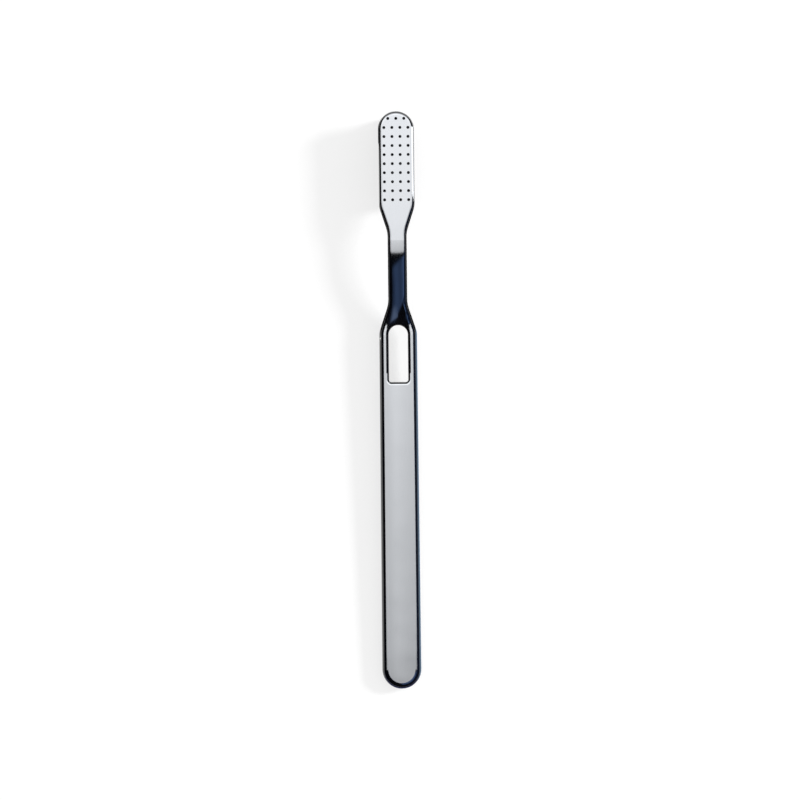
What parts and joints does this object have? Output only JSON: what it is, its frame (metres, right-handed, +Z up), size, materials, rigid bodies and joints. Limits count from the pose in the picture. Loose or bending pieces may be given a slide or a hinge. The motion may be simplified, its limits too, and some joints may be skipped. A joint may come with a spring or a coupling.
{
  "type": "manual toothbrush",
  "caption": "Slim manual toothbrush with a flat round-ended handle, a long hanging slot, a cranked neck and a narrow head of straight tufts.",
  "frame": {"origin": "on the surface that the brush lies on, below the middle of its length and width", "axes": "+Y from the butt of the handle to the toe of the head, +Z up, away from the surface, +X to the right seen from the butt; the bristles point down"},
  "size_m": [0.0128, 0.1898, 0.0161],
  "materials": {
    "body": "moulded plastic, black, polished to a high gloss",
    "bristle": "nylon filaments, charcoal black, trimmed flat",
    "anchor_wire": "drawn flat wire"
  },
  "bodies": {
    "root": {"anchors_r01": "anchor_wire", "anchors_r02": "anchor_wire", "anchors_r03": "anchor_wire", "anchors_r04": "anchor_wire", "anchors_r05": "anchor_wire", "anchors_r06": "anchor_wire", "anchors_r07": "anchor_wire", "anchors_r08": "anchor_wire", "anchors_r09": "anchor_wire", "anchors_r10": "anchor_wire", "brush_body": "body", "tuft_r01_c1": "bristle", "tuft_r01_c2": "bristle", "tuft_r01_c3": "bristle", "tuft_r02_c1": "bristle", "tuft_r02_c2": "bristle", "tuft_r02_c3": "bristle", "tuft_r02_c4": "bristle", "tuft_r03_c1": "bristle", "tuft_r03_c2": "bristle", "tuft_r03_c3": "bristle", "tuft_r03_c4": "bristle", "tuft_r04_c1": "bristle", "tuft_r04_c2": "bristle", "tuft_r04_c3": "bristle", "tuft_r04_c4": "bristle", "tuft_r05_c1": "bristle", "tuft_r05_c2": "bristle", "tuft_r05_c3": "bristle", "tuft_r05_c4": "bristle", "tuft_r06_c1": "bristle", "tuft_r06_c2": "bristle", "tuft_r06_c3": "bristle", "tuft_r06_c4": "bristle", "tuft_r07_c1": "bristle", "tuft_r07_c2": "bristle", "tuft_r07_c3": "bristle", "tuft_r07_c4": "bristle", "tuft_r08_c1": "bristle", "tuft_r08_c2": "bristle", "tuft_r08_c3": "bristle", "tuft_r08_c4": "bristle", "tuft_r09_c1": "bristle", "tuft_r09_c2": "bristle", "tuft_r09_c3": "bristle", "tuft_r09_c4": "bristle", "tuft_r10_c1": "bristle", "tuft_r10_c2": "bristle", "tuft_r10_c3": "bristle", "tuft_r10_c4": "bristle"}
  },
  "joints": []
}
